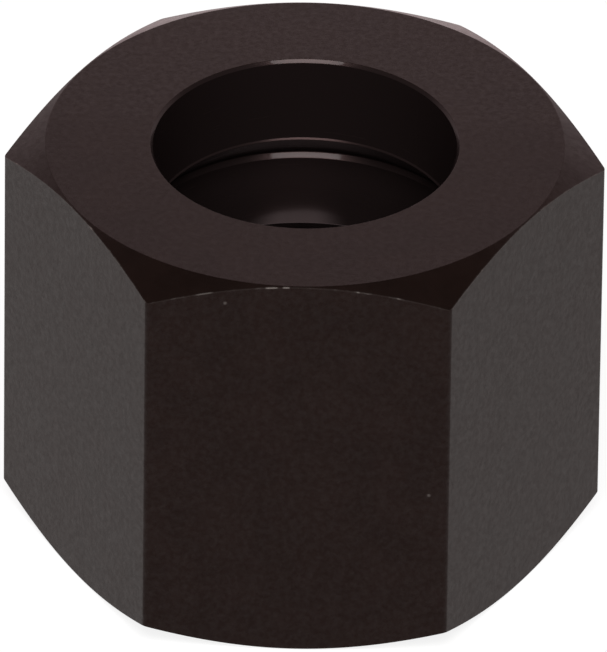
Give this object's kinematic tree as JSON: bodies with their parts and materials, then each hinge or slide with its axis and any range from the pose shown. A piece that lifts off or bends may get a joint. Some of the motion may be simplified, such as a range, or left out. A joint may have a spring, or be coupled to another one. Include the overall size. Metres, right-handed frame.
{
  "type": "clamp nut",
  "caption": "Hexagonal clamp nut with turned ends, a narrow mouth over a conical collet seat, and a thread bored in from the rear.",
  "frame": {"origin": "centre of the rear face, which the nut stands on", "axes": "+Z along the thread axis from the rear face to the front face, a wrench flat facing -Y, corners of the hexagon on +X and -X"},
  "size_m": [0.0278, 0.024, 0.02],
  "materials": {
    "blackened_steel": "black oxide over fine turned and milled steel, satin"
  },
  "bodies": {
    "root": {"nut_body": "blackened_steel"}
  },
  "joints": []
}
